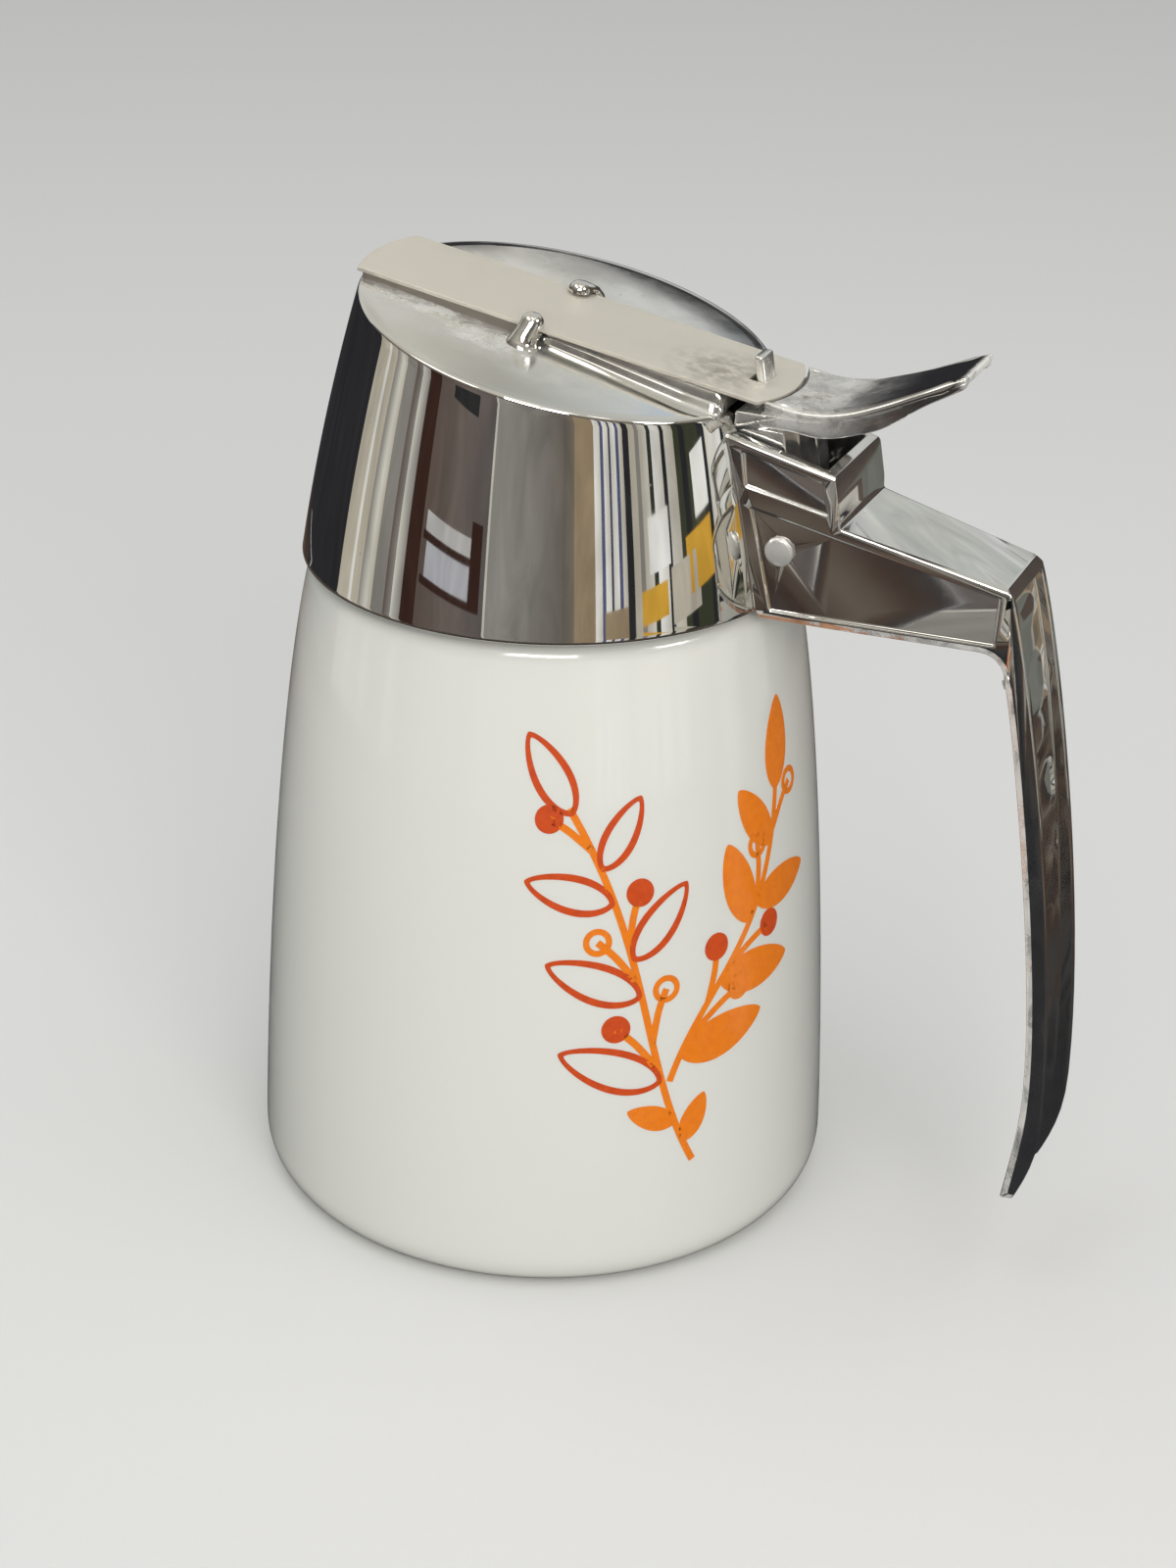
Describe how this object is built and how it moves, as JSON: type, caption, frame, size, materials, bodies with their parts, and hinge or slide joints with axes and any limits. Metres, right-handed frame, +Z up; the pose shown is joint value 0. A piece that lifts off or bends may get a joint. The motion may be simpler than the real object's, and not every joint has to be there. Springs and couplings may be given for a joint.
{
  "type": "syrup_dispenser",
  "caption": "Table syrup dispenser: opal glass jar, screw-on chromed head with a grip, and a spring-loaded cut-off blade worked by a thumb lever",
  "frame": {"origin": "centre of the jar's foot, on the plane it stands on", "axes": "+Z up along the jar's axis, +X towards the grip, -X towards the pouring lip"},
  "size_m": [0.1178, 0.082, 0.1322],
  "materials": {
    "opal_glass": "glossy opal white",
    "rubber": "matt",
    "chromed_casting": "polished, worn at the edges",
    "blade_steel": "satin",
    "chromed_lever": "polished, pitted",
    "pin_steel": "bright",
    "spring_steel": "drawn wire"
  },
  "bodies": {
    "jar": {"glass_jar": "opal_glass"},
    "gasket": {"mouth_gasket": "rubber"},
    "head": {"head_shell": "chromed_casting", "handle_arm": "chromed_casting", "handle_grip": "chromed_casting", "blade_guide_lugs": "chromed_casting", "pivot_pin": "pin_steel", "return_spring": "spring_steel"},
    "blade": {"cutoff_blade": "blade_steel"},
    "lever": {"thumb_lever": "chromed_lever"}
  },
  "joints": [
    {"name": "head_lift", "type": "slide", "parent": "jar", "child": "gasket", "axis": [0, 0, 1], "range_m": [0, 0.0053]},
    {"name": "head_turn", "type": "hinge", "parent": "gasket", "child": "head", "pos_m": [0, 0, 0.1], "axis": [0, 0, 1], "range_deg": [0, 450]},
    {"name": "lever_press", "type": "hinge", "parent": "head", "child": "lever", "pos_m": [0.0359, 0, 0.1027], "axis": [0, 1, 0], "range_deg": [0, 12], "stiffness_Nm_per_rad": 0.25, "springref_deg": -34.38, "deforming": ["return_spring"]},
    {"name": "blade_slide", "type": "slide", "parent": "head", "child": "blade", "axis": [0.9954, 0, -0.0958], "range_m": [0, 0.00425]}
  ],
  "couplings": [
    {"joint": "head_lift", "follows": "head_turn", "m_per_rad": 0.00066845},
    {"joint": "blade_slide", "follows": "lever_press", "m_per_rad": 0.0202}
  ]
}
